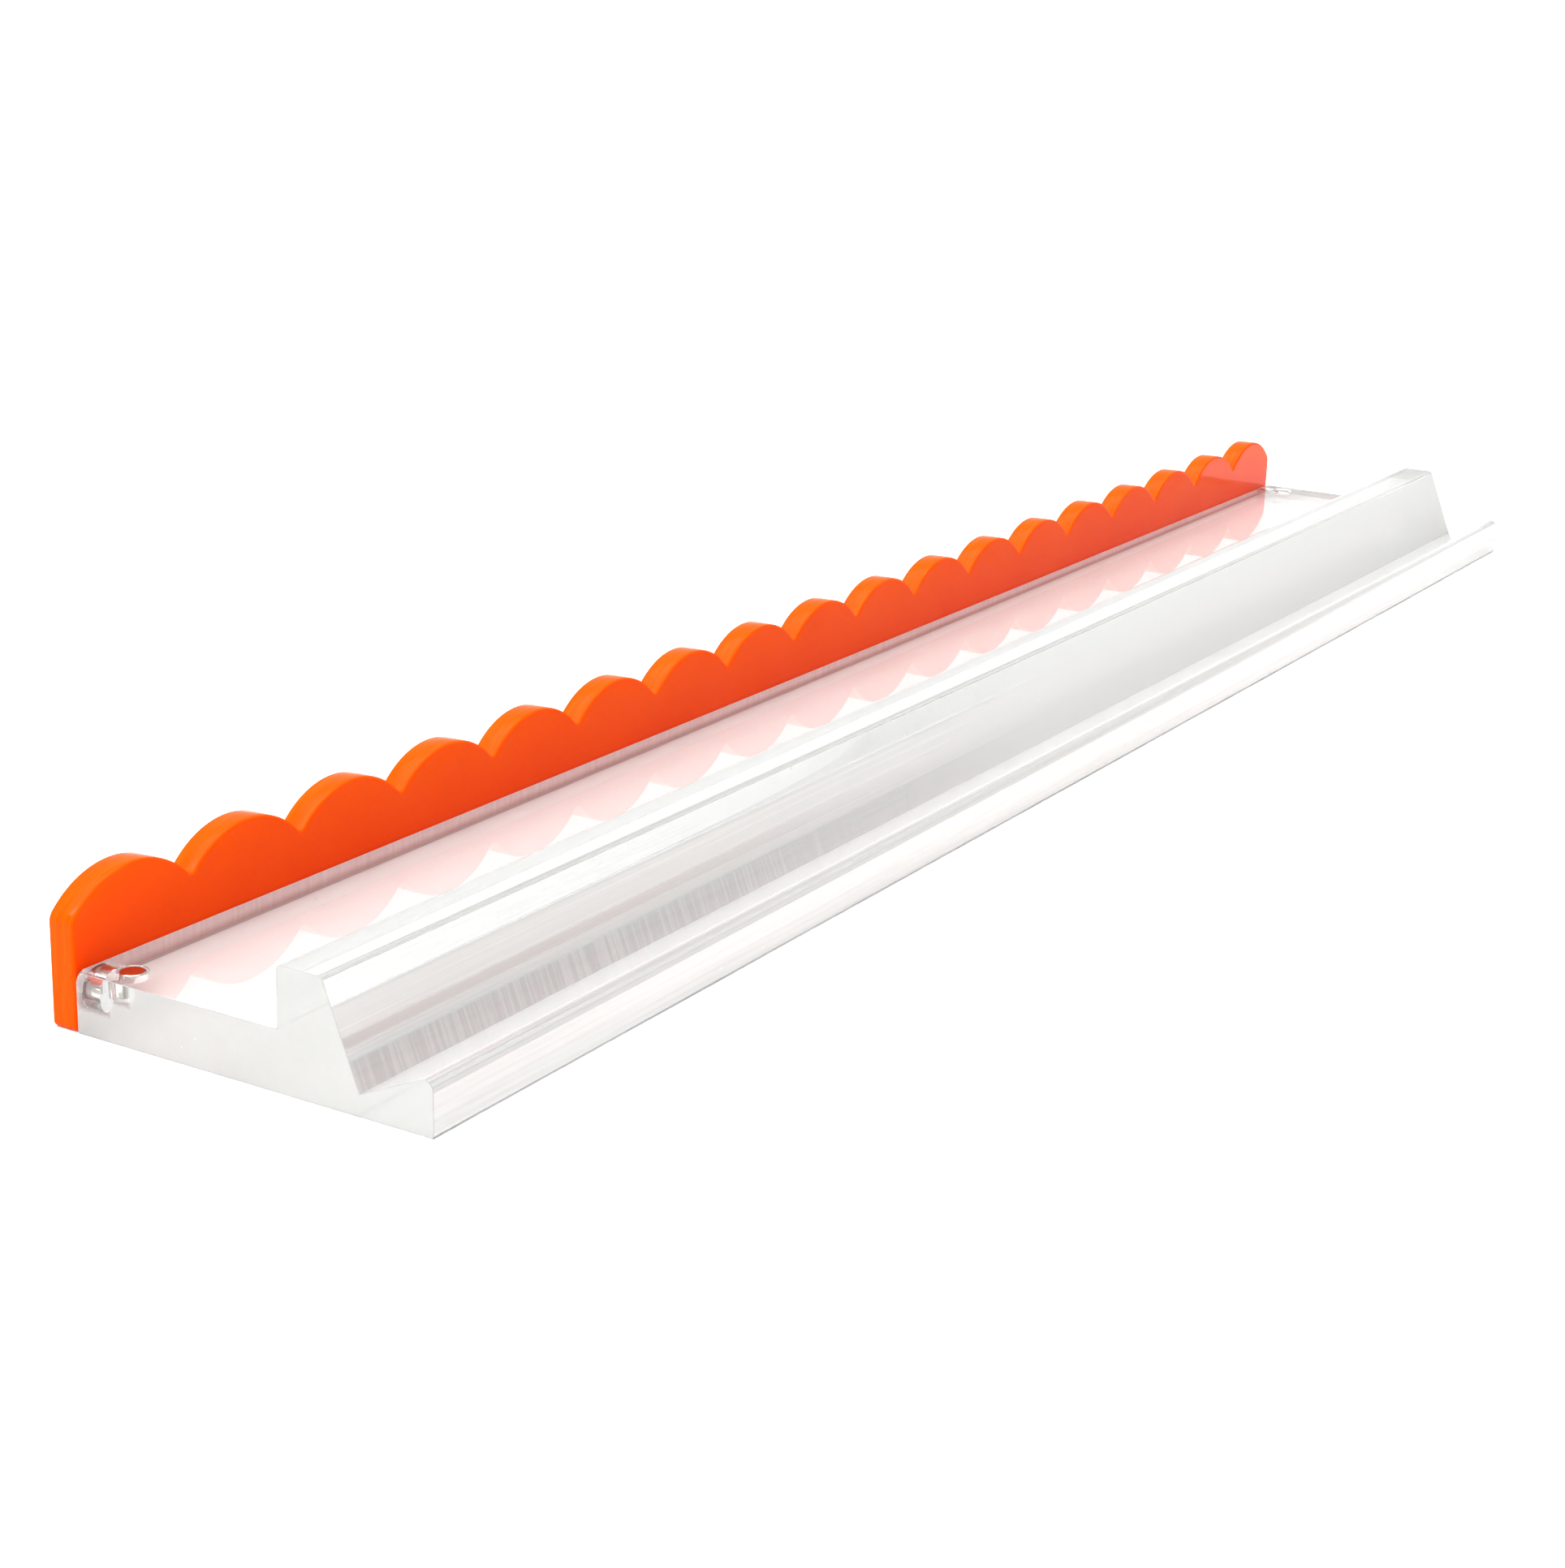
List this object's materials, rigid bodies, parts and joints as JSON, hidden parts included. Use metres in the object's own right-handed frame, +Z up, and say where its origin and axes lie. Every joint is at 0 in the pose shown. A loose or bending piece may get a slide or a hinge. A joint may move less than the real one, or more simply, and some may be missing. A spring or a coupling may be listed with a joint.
{
  "type": "game tile rack with pusher",
  "caption": "Long clear rack with a leaning face, groove and lip for a row of game tiles, and a scalloped pusher bar held behind it by magnets.",
  "frame": {"origin": "middle of the footprint of rack and pusher together, on the table", "axes": "+X along the rack's length, -Y towards the player and the leaning tile face, +Y towards the pusher, +Z up"},
  "size_m": [0.4572, 0.07, 0.0229],
  "materials": {
    "clear_acrylic": "polished clear cast acrylic",
    "orange_acrylic": "glossy solid orange acrylic",
    "nickel": "bright nickel plate"
  },
  "bodies": {
    "rack": {"rack_body": "clear_acrylic", "deck_magnet_left": "nickel", "deck_magnet_right": "nickel", "back_magnet_left": "nickel", "back_magnet_right": "nickel"},
    "pusher": {"pusher_bar": "orange_acrylic", "pusher_magnet_left": "nickel", "pusher_magnet_right": "nickel"}
  },
  "joints": [
    {"name": "pusher_pull", "type": "slide", "parent": "rack", "child": "pusher", "axis": [0, 1, 0], "range_m": [0, 0.1]}
  ]
}
